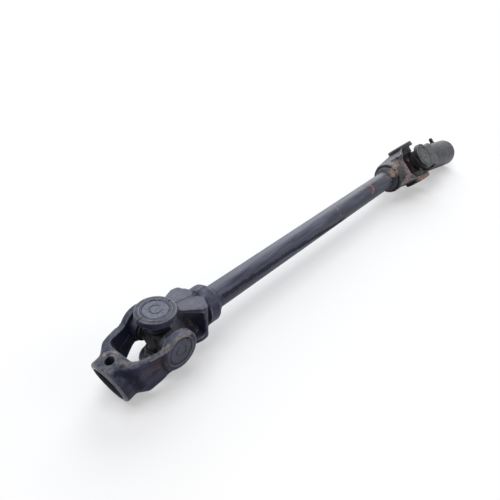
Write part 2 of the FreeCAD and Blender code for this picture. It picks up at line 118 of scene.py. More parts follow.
class Bench:
    # the shader tree of a new material, or of the world
    def __init__(self, home):
        self.home = home
        home.use_nodes = True
        self.tree = home.node_tree
        self.tree.nodes.clear()
        self.place = self.put("ShaderNodeTexCoord", output="Object")

    def put(self, kind, settings=None, inputs=None, output=0):
        # every node comes from here: its type, its settings, then the values or links of its sockets
        node = self.tree.nodes.new(kind)
        for key, value in (settings or {}).items():
            setattr(node, key, value)
        for key, value in (inputs or {}).items():
            if isinstance(value, Wire):
                self.tree.links.new(value.socket, node.inputs[key])
            else:
                node.inputs[key].default_value = value
        return Wire(self, node.outputs[output]) if node.outputs else None

    def noise(self, size, detail, rough=0.55, place=None):
        # size is the width of a blotch in metres
        values = {"Vector": place or self.place, "Scale": 0.5 / size, "Detail": detail, "Roughness": rough}
        return self.put("ShaderNodeTexNoise", {}, values)

    def drawnOut(self, share):
        # the place with its X scaled down, so that a noise read there is stretched along the bar
        return self.put("ShaderNodeMapping", {}, {"Vector": self.place, "Scale": (share, 1.0, 1.0)})

    def attribute(self, name):
        return self.put("ShaderNodeAttribute", {"attribute_name": name}, output="Fac")

    def mix(self, factor, first, second):
        # sockets 6 and 7 and output 2 are the node's colours
        return self.put("ShaderNodeMix", {"data_type": "RGBA"}, {0: factor, 6: first, 7: second}, 2)

    def blend(self, factor, first, second):
        # the same for plain numbers
        return first + (second - first) * factor

    def vector(self, operation, first, second, output=0):
        return self.put("ShaderNodeVectorMath", {"operation": operation}, {0: first, 1: second}, output)

    def past(self, point):
        # the way from a point to the place on the piece
        return self.vector("SUBTRACT", self.place, tuple(point))

    def along(self, point, way):
        # how far past a point, measured along a direction
        return self.vector("DOT_PRODUCT", self.past(point), tuple(way), "Value")

    def beside(self, point, way):
        # distance from the line through a point: the length of (place - point) x way
        across = self.vector("CROSS_PRODUCT", self.past(point), tuple(way))
        return self.vector("LENGTH", across, (0, 0, 0), "Value")

    def surface(self, colour, roughness, metallic=0.0, height=None, bumpDistance=None, **fixed):
        # the shader of a solid; a height becomes a bump, and fixed holds values that are the same all over
        inputs = {"Base Color": colour, "Roughness": roughness, "Metallic": metallic}
        inputs.update((name.replace("_", " "), value) for name, value in fixed.items())
        if height is not None:
            bump = {"Height": height, "Distance": bumpDistance, "Strength": 1.0}
            inputs["Normal"] = self.put("ShaderNodeBump", {}, bump)
        return self.put("ShaderNodeBsdfPrincipled", {}, inputs)

    def whitened(self, shader, share, *rays):
        # rays of the named kinds see a share of plain white, at strength 1, in place of the shader
        seen = self.put("ShaderNodeLightPath", output=rays[0])
        for ray in rays[1:]:
            seen = seen.most(self.put("ShaderNodeLightPath", output=ray))
        white = self.put("ShaderNodeEmission", {}, {"Color": (1.0, 1.0, 1.0, 1.0), "Strength": 1.0})
        return self.put("ShaderNodeMixShader", {}, {0: seen * share, 1: shader, 2: white})

    def finish(self, shader, kind="ShaderNodeOutputMaterial"):
        self.put(kind, {}, {"Surface": shader})
        return self.home


def newBench(name):
    return Bench(bpy.data.materials.new(name))


def readPoints(mesh):
    flat = np.empty(len(mesh.vertices) * 3)
    mesh.vertices.foreach_get("co", flat)
    return flat.reshape(-1, 3)


def writePoints(mesh, points):
    mesh.vertices.foreach_set("co", points.ravel())
    mesh.update()


def readNormals(mesh):
    flat = np.empty(len(mesh.vertices) * 3)
    mesh.vertex_normals.foreach_get("vector", flat)
    return flat.reshape(-1, 3)


def storeValues(mesh, name, values):
    mesh.attributes.new(name, "FLOAT", "POINT").data.foreach_set("value", values.astype(np.float32))


def unit(vector):
    vector = np.asarray(vector, float)
    return vector / np.linalg.norm(vector)


def crossways(way):
    # two directions square to way
    side = unit(np.cross(way, (0.0, 0.0, 1.0) if abs(way[2]) < 0.9 else (1.0, 0.0, 0.0)))
    return side, np.cross(way, side)


def spanOf(nodeName, centre, way):
    # lowest and highest place along way, and the outer radius about it
    points = readPoints(cadNodes[nodeName].data) - centre
    heights = points @ way
    radii = np.linalg.norm(points - np.outer(heights, way), axis=1)
    return heights.min(), heights.max(), radii.max()


def softened(corners, steps=5):
    # corners of (radius, height, rounding) in metres; a rounding turns its corner into a short curve
    corners = np.array(corners, float)
    profile = []
    for number, (radius, height, rounding) in enumerate(corners):
        point = np.array((radius, height))
        if rounding == 0:
            profile.append(point[None])
            continue
        before = point + unit(corners[number - 1, :2] - point) * rounding
        after = point + unit(corners[(number + 1) % len(corners), :2] - point) * rounding
        t = np.linspace(0, 1, steps)[:, None]
        profile.append((1 - t) ** 2 * before + 2 * t * (1 - t) * point + t ** 2 * after)
    return np.concatenate(profile)


def turnedGrid(profile, centre, way, turns, radiusShape=None, heightShape=None):
    # every (radius, height) of the profile is carried round the axis, to
    # centre + way * height + radial * radius; the two shapes change them by the angle
    side, up = crossways(way)
    angle = np.linspace(0, 2 * np.pi, turns, endpoint=False)[None, :]
    radius = np.repeat(profile[:, :1], turns, axis=1)
    height = np.repeat(profile[:, 1:2], turns, axis=1)
    newRadius = radiusShape(radius, height, angle) if radiusShape else radius
    newHeight = heightShape(radius, height, angle) if heightShape else height
    radial = side * np.cos(angle)[..., None] + up * np.sin(angle)[..., None]
    return centre + way * newHeight[..., None] + radial * newRadius[..., None]


def meshFromGrid(name, grid, loopBack=False, sharpAngle=35.0):
    # quads between neighbouring rows and columns; columns close on themselves, rows do too with loopBack
    rows, turns = grid.shape[:2]
    index = np.arange(rows * turns).reshape(rows, turns)
    if loopBack:
        index = np.concatenate([index, index[:1]])
    onward = np.roll(index, -1, axis=1)
    quads = np.stack([index[:-1], onward[:-1], onward[1:], index[1:]], -1).reshape(-1, 4)
    mesh = bpy.data.meshes.new(name)
    mesh.from_pydata(grid.reshape(-1, 3).tolist(), [], quads.tolist())
    welded = bmesh.new()
    welded.from_mesh(mesh)
    bmesh.ops.remove_doubles(welded, verts=welded.verts, dist=1e-7)
    bmesh.ops.recalc_face_normals(welded, faces=welded.faces)
    welded.to_mesh(mesh)
    welded.free()
    mesh.polygons.foreach_set("use_smooth", np.ones(len(mesh.polygons), bool))
    mesh.set_sharp_from_angle(angle=math.radians(sharpAngle))
    return mesh


def bodyOf(nodeName):
    return cadNodes[nodeName]["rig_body"]


def placePiece(name, mesh, material, body, slotName, *replaced):
    # "upward" tells the paint where dust settles and where the tops are painted lighter as top light
    storeValues(mesh, "upward", readNormals(mesh)[:, 2].clip(0, 1))
    mesh.materials.clear()
    mesh.materials.append(material)
    piece = bpy.data.objects.new(name, mesh)
    bpy.context.scene.collection.objects.link(piece)
    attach(piece, body)
    if replaced:
        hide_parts(*replaced)


def waviness(points, cell, seed):
    # random numbers on a lattice of cubes, blended smoothly between the eight corners round each point
    period = 32
    lattice = np.random.default_rng(seed).uniform(-1, 1, (period, period, period))
    scaled = points / cell
    base = np.floor(scaled).astype(int)
    part = scaled - base
    part = part * part * (3 - 2 * part)
    total = np.zeros(len(points))
    for corner in np.ndindex(2, 2, 2):
        weight = np.prod(np.where(np.array(corner) == 1, part, 1 - part), axis=1)
        cellIndex = (base + np.array(corner)) % period
        total += weight * lattice[cellIndex[:, 0], cellIndex[:, 1], cellIndex[:, 2]]
    return total


def wavesOf(points, waves, seed):
    # the sum of several waves, each with its own cell and depth and the next seed
    return sum(waviness(points, cell, seed + turn) * depth for turn, (cell, depth) in enumerate(waves))


# the yokes: each CAD solid regrown as one skin with the soft edges of a forging
forging = {
    "grain": 0.0007,  # cube size of the new skin
    "weld": 2e-6,
    "softening": 7,  # passes
    "forgedGive": 0.5,  # share of the way to its neighbours' middle that a vertex goes in a pass
    "machinedGive": 0.12,  # the same where it was machined
    "earBore": 0.0150,  # the ears are machined inside this radius
    "earStart": 0.018,  # and from this height of an arm on
    "hubStart": 0.03,  # the hub is machined inside its bore from this height on
    "chamferRise": 1.2,  # how steep the mouth's outer chamfer is
    "rimWidth": 0.0006,
    "liftPasses": 3,
    "liftGive": 0.7,
    "edgeGain": 14,
    "dents": ((0.013, 0.00014), (0.0035, 0.00006)),
}


def regrown(nodeName, look):
    # the solid's triangles are merged and sampled on a lattice of cubes, one grain wide
    mesh = cadNodes[nodeName].data.copy()
    welded = bmesh.new()
    welded.from_mesh(mesh)
    bmesh.ops.remove_doubles(welded, verts=welded.verts, dist=look["weld"])
    welded.to_mesh(mesh)
    welded.free()
    carrier = bpy.data.objects.new(nodeName + "Carrier", mesh)
    bpy.context.scene.collection.objects.link(carrier)
    skin = carrier.modifiers.new("skin", "REMESH")
    skin.mode = "VOXEL"
    skin.voxel_size = look["grain"]
    grown = bpy.data.meshes.new_from_object(carrier.evaluated_get(bpy.context.evaluated_depsgraph_get()))
    bpy.data.objects.remove(carrier)
    return grown


def neighbourMean(edges, counts, values):
    # the average of each vertex's neighbours, one column at a time
    columns = []
    for column in values.T:
        sums = np.bincount(edges[:, 0], column[edges[:, 1]], len(values))
        sums += np.bincount(edges[:, 1], column[edges[:, 0]], len(values))
        columns.append(sums / counts)
    return np.stack(columns, axis=1)


def toPath(points, path):
    # distance from every point to a line of straight runs: the least over all runs
    path = np.array(path, float)
    nearest = np.full(len(points), np.inf)
    for start, end in zip(path[:-1], path[1:]):
        run = end - start
        share = ((points - start) @ run / (run @ run)).clip(0, 1)
        nearest = np.minimum(nearest, np.linalg.norm(points - start - share[:, None] * run, axis=1))
    return nearest


def storeMarks(mesh, points, markList):
    # one attribute per stain colour: strongest on the mark's path, gone at its reach, with a ragged border
    ragged = sum(waviness(points, cell, seed) * depth for cell, seed, depth in markBorder["noises"])
    fromJoint = points - ends["front"]["centre"]
    for stain in stains:
        cover = np.zeros(len(points))
        for colourName, reach, strength, path in markList:
            if colourName == stain:
                near = markBorder["full"] - toPath(fromJoint, path) / reach + ragged
                cover = np.maximum(cover, near.clip(0, 1) * strength)
        storeValues(mesh, stain, cover)


def forgedSkin(name, yoke, look, material):
    # the copy is softened by moving each vertex towards its neighbours' middle, less where it was
    # machined, and dented along its normals by noise; "edge" and "crease" store how far a vertex
    # stands out of or lies below its surroundings
    centre = ends[yoke["end"]]["centre"]
    armAxis = ends[yoke["end"]][yoke["arm"]]
    hubWay = yoke["way"]
    mesh = regrown(yoke["node"], look)
    points = readPoints(mesh)
    edges = np.empty(len(mesh.edges) * 2, np.int32)
    mesh.edges.foreach_get("vertices", edges)
    edges = edges.reshape(-1, 2)
    counts = np.bincount(edges.ravel(), minlength=len(points)).clip(1)
    local = points - centre
    armHeight = local @ armAxis
    armRadius = np.linalg.norm(local - np.outer(armHeight, armAxis), axis=1)
    hubHeight = local @ hubWay
    spoke = local - np.outer(hubHeight, hubWay)
    hubRadius = np.linalg.norm(spoke, axis=1)
    inEar = (armRadius < look["earBore"]) & (np.abs(armHeight) > look["earStart"])
    machined = inEar | ((hubRadius < yoke["bore"]) & (hubHeight > look["hubStart"]))
    if "mouthRun" in yoke:
        # the mouth's chamfers: the radius is kept between two cones that near each other at the end
        depth = (hubHeight.max() - hubHeight) / yoke["mouthRun"]
        outer = yoke["wall"] + (hubRadius.max() - yoke["wall"]) * depth * look["chamferRise"]
        inner = yoke["bore"] - yoke["mouthRun"] * depth
        kept = np.where(depth < 1, np.clip(hubRadius, inner, np.maximum(outer, inner)), hubRadius)
        points = points + spoke * (kept / hubRadius.clip(1e-6) - 1)[:, None]
        machined |= (depth < look["chamferRise"]) & (kept < yoke["wall"] + look["rimWidth"])
    give = np.where(machined, look["machinedGive"], look["forgedGive"])[:, None]
    for _ in range(look["softening"]):
        points = points + (neighbourMean(edges, counts, points) - points) * give
    writePoints(mesh, points)
    normals = readNormals(mesh)
    lift = np.sum((points - neighbourMean(edges, counts, points)) * normals, axis=1)[:, None] / look["grain"]
    for _ in range(look["liftPasses"]):
        lift = lift + (neighbourMean(edges, counts, lift) - lift) * look["liftGive"]
    lift = lift[:, 0]
    storeValues(mesh, "edge", (lift * look["edgeGain"]).clip(0, 1))
    storeValues(mesh, "crease", (-lift * look["edgeGain"]).clip(0, 1))
    dent = wavesOf(points, look["dents"], yoke["seed"])
    points = points + normals * (dent * give[:, 0] / look["forgedGive"])[:, None]
    writePoints(mesh, points)
    storeMarks(mesh, points, yoke["marks"])
    mesh.polygons.foreach_set("use_smooth", np.ones(len(mesh.polygons), bool))
    placePiece(name, mesh, material, bodyOf(yoke["node"]), yoke["slot"], yoke["node"])
    print(name, len(mesh.polygons), "faces")


# the satin black paint that covers everything, and what lies on it; its dust colour also serves as painted
# top light, its grime colour as painted shade, and its worn colour as painted highlights on edges
black = {
    "deep": (0.0062, 0.0066, 0.0195, 1.0),
    "grey": (0.0240, 0.0252, 0.0540, 1.0),
    "dustAndTopLight": (0.176, 0.184, 0.232, 1.0),
    "wornAndHighlight": (0.215, 0.210, 0.228, 1.0),
    "grimeAndShade": (0.0060, 0.0056, 0.0090, 1.0),
    "bareSteel": (0.60, 0.59, 0.60, 1.0),
    "roughness": 0.36,
    "specular": 0.24,
    "dustAndTopLightCover": 0.46,
    "sheen": (0.90, 0.93, 1.0, 1.0),
}
# the rear joint's paint has faded to a plain grey
faded = {
    **black,
    "deep": (0.0078, 0.0082, 0.0110, 1.0),
    "grey": (0.0300, 0.0312, 0.0385, 1.0),
    "dustAndTopLight": (0.196, 0.199, 0.210, 1.0),
    "bareSteel": (0.32, 0.32, 0.33, 1.0),
    "sheen": (1.0, 1.0, 0.98, 1.0),
}
paints = {"front": black, "rear": faded}
# each stain: its colour, and how much of it the speckle leaves
stains = {
    "bare": ((0.200, 0.195, 0.215, 1.0), 0.80),
    "tan": ((0.34, 0.250, 0.200, 1.0), 0.78),
    "pink": ((0.285, 0.240, 0.232, 1.0), 0.92),
    "maroon": ((0.046, 0.020, 0.022, 1.0), 0.90),
    "brick": ((0.150, 0.062, 0.052, 1.0), 0.62),
    # oil also serves as a painted dark reflection band along the bar
    "oilAndShade": ((0.0045, 0.0048, 0.0150, 1.0), 0.98),
    "red": ((0.420, 0.150, 0.125, 1.0), 0.92),
}
# the ragged border of every stain: cell, seed and depth of its noises, and its height on the path
markBorder = {"noises": ((0.0030, 71, 0.35), (0.0011, 72, 0.2)), "full": 1.25}
# widths of the noises' blotches
blotches = {"broad": 0.020, "medium": 0.0045, "fine": 0.0012, "scale": 0.0022}
# the line where the dies met: how it wanders, where it ends and is full, the step across it, its depth
parting = {"cell": 0.010, "wander": 0.0032, "outer": 0.0008, "inner": 0.0003, "step": 1.2, "sink": 1.5}


def stained(bench, colour, roughness, height, fine, medium):
    # every stain is thinned by two noises, so that its border and its middle are broken
    for stain, (shade, cover) in stains.items():
        mask = (bench.attribute(stain) + fine * 0.7 + medium * 0.6 - (1.80 - cover)).step(0.0, 0.55)
        dark = tuple(0.6 * value for value in shade[:3]) + (1.0,)
        colour = bench.mix(mask * 0.9, colour, bench.mix(fine.step(0.38, 0.62), dark, shade))
        roughness = bench.blend(mask, roughness, 0.80)
        height = height + mask * fine * 0.6
    return colour, roughness, height


def dustedAndToplit(bench, look, medium):
    # the film of dust on what faces up, thicker in patches; it also paints the tops lighter as painted top
    # light
    patches = medium.step(0.36, 0.68) * 0.75 + 0.25
    return bench.attribute("upward").step(0.30, 1.0) * patches * look["dustAndTopLightCover"]


def painted(bench, look, colour, roughness, metallic, height, bumpDistance):
    # the one shader of all painted steel
    gloss = {"Specular_IOR_Level": look["specular"], "Specular_Tint": look["sheen"]}
    return bench.finish(bench.surface(colour, roughness, metallic, height, bumpDistance, **gloss))


def forgedPaint(name, look, centre, partingWay, hubWay, mouth, bore, wall):
    # black in patches, then dust that also paints the tops lighter as top light, grime with painted shade in
    # the creases, rubbed edges with painted highlights, the parting line and the bore darkened as painted
    # shade, stains
    bench = newBench(name)
    broad = bench.noise(blotches["broad"], 2.0).step(0.3, 0.7)
    medium = bench.noise(blotches["medium"], 3.0)
    fine = bench.noise(blotches["fine"], 4.0)
    scale = bench.noise(blotches["scale"], 5.0, 0.7)
    patches = (broad * 0.45 + medium * 0.7 + scale * 0.8 - 0.40).step(0.36, 0.84)
    colour = bench.mix(patches, look["deep"], look["grey"])
    dustAndTopLightShare = dustedAndToplit(bench, look, scale)
    colour = bench.mix(dustAndTopLightShare, colour, look["dustAndTopLight"])
    # creases are painted darker with the grime colour: grime, and painted shade where shade falls in them
    grimeAndShade = (bench.attribute("crease") + (scale - 0.5) * 0.3).step(0.04, 0.45)
    colour = bench.mix(grimeAndShade * 0.85, colour, look["grimeAndShade"])
    # edges that stand out are painted lighter: rubbed paint, and painted highlights along the edges
    rubbedAndHighlit = (bench.attribute("edge") * 1.1 + medium * 0.9 + fine * 0.5 - 1.30).step(0.0, 0.40)
    colour = bench.mix(rubbedAndHighlit * 0.6, colour, look["wornAndHighlight"])
    roughness = look["roughness"] + dustAndTopLightShare * 0.4 + grimeAndShade * 0.25 + (fine - 0.5) * 0.12
    metallic = rubbedAndHighlit * 0.25
    height = fine * 0.35 + medium * 0.6 + scale * 0.8 - rubbedAndHighlit * 0.15
    # the parting line of the dies wanders a little and leaves a small step; the line itself is painted dark
    # as the shade in its groove
    drift = (bench.noise(parting["cell"], 3.0) - 0.5) * parting["wander"]
    offset = bench.along(centre, partingWay) + drift
    line = abs(offset).step(parting["outer"], parting["inner"])
    rise = offset.step(-parting["inner"], parting["inner"])
    height = height + rise * parting["step"] - line * parting["sink"]
    colour = bench.mix(line * 0.95, colour, look["grimeAndShade"])
    # the bore is dull and painted dark inside as shade, with a rubbed ring round its mouth
    radial = bench.beside(mouth, hubWay)
    depth = bench.along(mouth, hubWay)
    inside = radial.step(bore + 0.0003, bore)
    inside = inside * depth.step(-0.0900, -0.0895) * depth.step(-0.0004, -0.0012)
    colour = bench.mix(inside * 0.85, colour, look["grimeAndShade"])
    roughness = bench.blend(inside, roughness, 0.65)
    ring = radial.step(bore - 0.0001, bore + 0.0001) * radial.step(wall + 0.0002, wall)
    ring = ring * depth.step(-0.0010, -0.0005) * (medium + fine * 0.5).step(0.40, 0.58)
    colour = bench.mix(ring * 0.9, colour, look["bareSteel"])
    metallic = metallic.most(ring * 0.4)
    colour, roughness, height = stained(bench, colour, roughness, height, fine, medium)
    return painted(bench, look, colour, roughness, metallic, height, 0.00024)


def barPaint(name, look):
    # the bar's noises are stretched along it, as the drawn surface is
    bench = newBench(name)
    streak = bench.noise(0.0035, 4.0, place=bench.drawnOut(0.10))
    blotch = bench.noise(0.014, 3.0, place=bench.drawnOut(0.35))
    medium = bench.noise(blotches["medium"], 3.0)
    fine = bench.noise(blotches["fine"], 4.0)
    colour = bench.mix(blotch.step(0.35, 0.65), look["deep"], look["grey"])
    dustAndTopLightShare = dustedAndToplit(bench, look, streak)
    colour = bench.mix(dustAndTopLightShare, colour, look["dustAndTopLight"])
    colour = bench.mix(streak.step(0.50, 0.72) * 0.30, colour, look["dustAndTopLight"])
    colour = bench.mix(streak.step(0.47, 0.32) * 0.7, colour, look["grimeAndShade"])
    scuff = (streak + fine * 0.6).step(0.99, 1.12)
    colour = bench.mix(scuff * 0.4, colour, look["wornAndHighlight"])
    roughness = look["roughness"] + dustAndTopLightShare * 0.3 + streak * 0.12 + (fine - 0.5) * 0.1
    height = fine * 0.3 + streak * 0.7
    colour, roughness, height = stained(bench, colour, roughness, height, fine, medium)
    return painted(bench, look, colour, roughness, 0.0, height, 0.00014)


def smallPaint(name, look, wornAndHighlight=0.35):
    # the same paint in smaller patches; the third argument is how far the rubbed specks show
    bench = newBench(name)
    broad = bench.noise(0.009, 2.0).step(0.3, 0.7)
    medium = bench.noise(0.004, 3.0)
    fine = bench.noise(0.0009, 4.0)
    scale = bench.noise(blotches["scale"], 5.0, 0.7)
    patches = (broad * 0.35 + medium * 0.7 + scale * 0.8 - 0.35).step(0.25, 0.95)
    colour = bench.mix(patches, look["deep"], look["grey"])
    dustAndTopLightShare = dustedAndToplit(bench, look, scale)
    colour = bench.mix(dustAndTopLightShare, colour, look["dustAndTopLight"])
    rubbedAndHighlit = (medium + fine * 0.5).step(0.97, 1.12)
    colour = bench.mix(rubbedAndHighlit * wornAndHighlight, colour, look["wornAndHighlight"])
    roughness = look["roughness"] + dustAndTopLightShare * 0.4 + (fine - 0.5) * 0.12
    height = fine * 0.35 + medium * 0.5 + scale * 0.6
    colour, roughness, height = stained(bench, colour, roughness, height, fine, medium)
    return painted(bench, look, colour, roughness, 0.0, height, 0.00014)


# the crosses are dark with grease, and rusty in specks; the front cross is made near black also as painted
# shade
greaseAndShadeLooks = {
    "front": {
        "dark": (0.005, 0.0048, 0.0065, 1.0), "light": (0.016, 0.0145, 0.016, 1.0),
        "rust": (0.060, 0.040, 0.032, 1.0), "specular": 0.35,
    },
    "rear": {
        "dark": (0.020, 0.011, 0.014, 1.0), "light": (0.042, 0.022, 0.026, 1.0),
        "rust": (0.075, 0.030, 0.028, 1.0), "specular": 0.35,
    },
}


def greasyShadedSteel(name, look):
    bench = newBench(name)
    broad = bench.noise(0.006, 3.0)
    fine = bench.noise(0.001, 4.0)
    colour = bench.mix(broad.step(0.35, 0.65), look["dark"], look["light"])
    rust = (broad + fine * 0.6).step(0.93, 1.06)
    colour = bench.mix(rust, colour, look["rust"])
    roughness = 0.38 + rust * 0.42 + fine * 0.15
    return bench.finish(bench.surface(
        colour, roughness, (1 - rust) * 0.2, fine + rust * fine, 0.0001, Specular_IOR_Level=look["specular"]
    ))


rollerLook = {"dark": (0.065, 0.0625, 0.0625, 1.0), "light": (0.13, 0.125, 0.125, 1.0), "metallic": 0.9}


def brightSteel(name, look=rollerLook):
    bench = newBench(name)
    broad = bench.noise(0.004, 3.0)
    fine = bench.noise(0.0008, 3.0)
    colour = bench.mix(broad.step(0.3, 0.7), look["dark"], look["light"])
    return bench.finish(bench.surface(colour, 0.28 + fine * 0.2, look["metallic"], fine, 0.00005))


rubberLook = {"dark": (0.006, 0.0055, 0.006, 1.0), "light": (0.020, 0.017, 0.017, 1.0)}


def sealRubber(name, look=rubberLook):
    bench = newBench(name)
    broad = bench.noise(0.005, 3.0)
    fine = bench.noise(0.0008, 4.0)
    colour = bench.mix(broad.step(0.35, 0.7), look["dark"], look["light"])
    return bench.finish(bench.surface(colour, 0.62 + fine * 0.2, 0.0, fine + broad, 0.0001))


# bearing cups, with an open ring stamped in their faces
cupLook = {
    "corner": 0.0011, "lip": 0.0004, "floorCorner": 0.0006, "floor": 0.0030, "wall": 0.0024, "faceRings": 60,
    "faceEdge": 0.0012, "turns": 128, "markRadius": 0.0055, "markWidth": 0.00077, "markDepth": 0.00070,
    "markGap": 0.50, "markTurn": 4.36, "markEnd": 14, "dish": 0.00020, "dishShare": 0.8, "boss": 0.0007,
    "bossRadius": 0.0119, "bossEdge": 0.00006,
}


def bearingCup(name, nodeName, centre, way, material, slotName, look=cupLook):
    # a cup's section turned about its axis; on the face the height is raised by a boss that falls as an
    # S curve at its rim, and lowered by a dish, a parabola, and by a ring, e to the minus fourth power of
    # the distance from its middle, which an S curve of the angle leaves open on one side
    mouth, face, radius = spanOf(nodeName, centre, way)
    inside = radius - look["wall"]
    floor = face - look["floor"]
    corners = [
        *((place, face, 0) for place in np.linspace(0.0, radius - look["faceEdge"], look["faceRings"])),
        (radius, face, look["corner"]), (radius, mouth, look["lip"]), (inside, mouth, look["lip"]),
        (inside, floor, look["floorCorner"]), (0.0, floor, 0),
    ]

    def stamped(r, h, angle):
        ring = np.exp(-((r - look["markRadius"]) / look["markWidth"]) ** 4)
        turn = np.abs((angle - look["markTurn"] + np.pi) % (2 * np.pi) - np.pi)
        closed = 1 / (1 + np.exp((look["markGap"] - turn) * look["markEnd"]))
        dish = np.clip(1 - (r / (radius * look["dishShare"])) ** 2, 0, 1) * look["dish"]
        boss = look["boss"] / (1 + np.exp((r - look["bossRadius"]) / look["bossEdge"]))
        onFace = (h > face - 1e-6)
        return h + onFace * (boss - ring * closed * look["markDepth"] - dish)

    grid = turnedGrid(softened(corners), centre, way, look["turns"], heightShape=stamped)
    placePiece(name, meshFromGrid(name, grid), material, bodyOf(nodeName), slotName, nodeName)


# trunnion seals, with two lips
sealLook = {"lip": 0.0006, "hole": 0.0074, "rounding": 0.0003, "bevel": 0.0004, "rim": 0.0005, "turns": 72}


def trunnionSeal(name, nodeName, centre, way, material, slotName, look=sealLook):
    # a closed section turned about the trunnion's axis: a lip at each end, drawn in between them
    low, high, radius = spanOf(nodeName, centre, way)
    bevelled = radius - look["bevel"]
    corners = [(place, height, look["rounding"]) for place, height in (
        (look["hole"], low), (bevelled, low), (radius, low + look["rim"]),
        (radius - look["lip"], (low + high) / 2),
        (radius, high - look["rim"]), (bevelled, high), (look["hole"], high),
    )]
    mesh = meshFromGrid(name, turnedGrid(softened(corners), centre, way, look["turns"]), loopBack=True)
    placePiece(name, mesh, material, bodyOf(nodeName), slotName, nodeName)


# snap rings, open on one side, with an eye at each end
ringLook = {"width": 0.0021, "gap": 26.0, "eye": 0.0014, "eyeTurn": 0.12, "bevel": 0.1, "steps": 90}


def snapRing(name, nodeName, centre, way, material, slotName, look=ringLook):
    # a bevelled rectangle carried round most of a circle: centre + radial * r + way * h, where the inner
    # radius goes in by e to the minus square of the angle from the nearer end, which makes the eyes
    low, high, outer = spanOf(nodeName, centre, way)
    points = readPoints(cadNodes[nodeName].data) - centre
    flat = points - np.outer(points @ way, way)
    gapWay = -unit(flat.mean(axis=0))
    half = math.radians(look["gap"] / 2)
    angle = np.linspace(half, 2 * np.pi - half, look["steps"])
    fromEnd = np.minimum(angle - half, 2 * np.pi - half - angle)
    inner = outer - look["width"] - look["eye"] * np.exp(-(fromEnd / look["eyeTurn"]) ** 2)
    near, far = 1 - look["bevel"], 1 - 2 * look["bevel"]
    section = np.array([
        (-1, -far), (-near, -1), (near, -1), (1, -far), (1, far), (near, 1), (-near, 1), (-1, far),
    ])
    across = ((outer - inner) / 2)[:, None] * section[None, :, 0] + ((outer + inner) / 2)[:, None]
    heights = (high + low) / 2 + (high - low) / 2 * section[None, :, 1, None]
    radial = gapWay * np.cos(angle)[:, None] + np.cross(way, gapWay) * np.sin(angle)[:, None]
    grid = centre + radial[:, None, :] * across[..., None] + way * heights
    # each end closes on the middle of its section
    middles = grid.mean(axis=1, keepdims=True).repeat(len(section), axis=1)
    grid = np.concatenate([middles[:1], grid, middles[-1:]])
    placePiece(name, meshFromGrid(name, grid), material, bodyOf(nodeName), slotName, nodeName)


# grease nipple: six-sided foot, waist and ball end with a small hole
nippleLook = {
    "flats": 0.0070, "foot": 0.0030, "neck": 0.0021, "head": 0.0032, "stem": 0.0030, "bevel": 0.0004,
    "hole": 0.0006, "holeDepth": 0.0012, "corners": 1.13, "turns": 96,
}


def greaseNipple(name, nodeName, way, material, slotName, look=nippleLook):
    # a turned section; round the foot the radius is the flats' half width over the cosine of the angle
    # from the nearest flat's middle, cut off at the corners
    points = readPoints(cadNodes[nodeName].data)
    middle = (points.min(axis=0) + points.max(axis=0)) / 2
    low, high, _ = spanOf(nodeName, middle, way)
    heights = (points - middle) @ way
    wide = np.linalg.norm(points - middle - np.outer(heights, way), axis=1) > look["flats"] * 0.53
    seat = heights[wide].min()
    top = seat + look["foot"]
    half, neck, head, bevel, stem = look["flats"] / 2, look["neck"], look["head"], look["bevel"], look["stem"]
    corners = [
        (0.0, low, 0), (stem, low, bevel), (stem, seat, 0),
        (half, seat, 0), (half, top - bevel, 0), (half - bevel, top, 0),
        (neck + 0.0006, top, 0.0003), (neck, top + 0.0007, 0.0004), (neck, high - 2.1 * head, 0.0005),
        (head * 0.93, high - 1.7 * head, 0.0006), (head, high - head, 0.0012),
        (head * 0.72, high - head * 0.25, 0.0006), (head * 0.45, high, 0.0003),
        (look["hole"] + 0.0001, high, 0), (look["hole"], high - look["holeDepth"], 0),
        (0.0, high - look["holeDepth"], 0),
    ]

    def sixSided(r, h, angle):
        flat = np.cos((angle + np.pi / 6) % (np.pi / 3) - np.pi / 6)
        foot = (r > half - bevel - 0.00001) & (h >= seat - 1e-6) & (h <= top + 1e-6)
        return np.where(foot, np.minimum(r / flat, half * look["corners"]), r)

    grid = turnedGrid(softened(corners), middle, way, look["turns"], radiusShape=sixSided)
    placePiece(name, meshFromGrid(name, grid), material, bodyOf(nodeName), slotName, nodeName)


# the bar: a tube surface between the two yokes, a little uneven, closed at both ends
barAxis = np.array((1.0, 0.0, 0.0))
barLook = {
    "turns": 108, "step": 0.0011, "chamfer": 0.0010, "drawn": 0.25, "inset": 0.00009,
    "waves": ((0.030, 0.00007), (0.006, 0.000025)), "seed": 90,
}


def drawnBar(name, nodeName, material, slotName, markList, look=barLook):
    # a circle carried along X, with long waves added along its normals and set in by the waves' depth
    points = readPoints(cadNodes[nodeName].data)
    low, high = points[:, 0].min(), points[:, 0].max()
    centre = np.array((0.0, *((points.min(axis=0) + points.max(axis=0)) / 2)[1:]))
    radius = (points[:, 2].max() - points[:, 2].min()) / 2
    chamfer = look["chamfer"]
    along = np.arange(low + chamfer, high - chamfer, look["step"])
    profile = np.array([
        (0.0, low), (radius - chamfer, low), *((radius, place) for place in along),
        (radius, high - chamfer), (radius - chamfer, high), (0.0, high),
    ])
    mesh = meshFromGrid(name, turnedGrid(profile, centre, barAxis, look["turns"]))
    points = readPoints(mesh)
    wave = wavesOf(points * (look["drawn"], 1.0, 1.0), look["waves"], look["seed"])
    writePoints(mesh, points + readNormals(mesh) * (wave - look["inset"])[:, None])
    storeMarks(mesh, points, markList)
    placePiece(name, mesh, material, bodyOf(nodeName), slotName, nodeName)


# the weld where each collar meets the bar; what differs between the two stands in beads, below
beadLook = {
    "bar": 0.0127, "toe": 0.0002, "swell": 0.0007, "sink": 0.0004, "back": 0.0008, "rows": 16, "turns": 300,
    "lag": 1.6, "sway": 0.4, "wander": 0.0006,
}


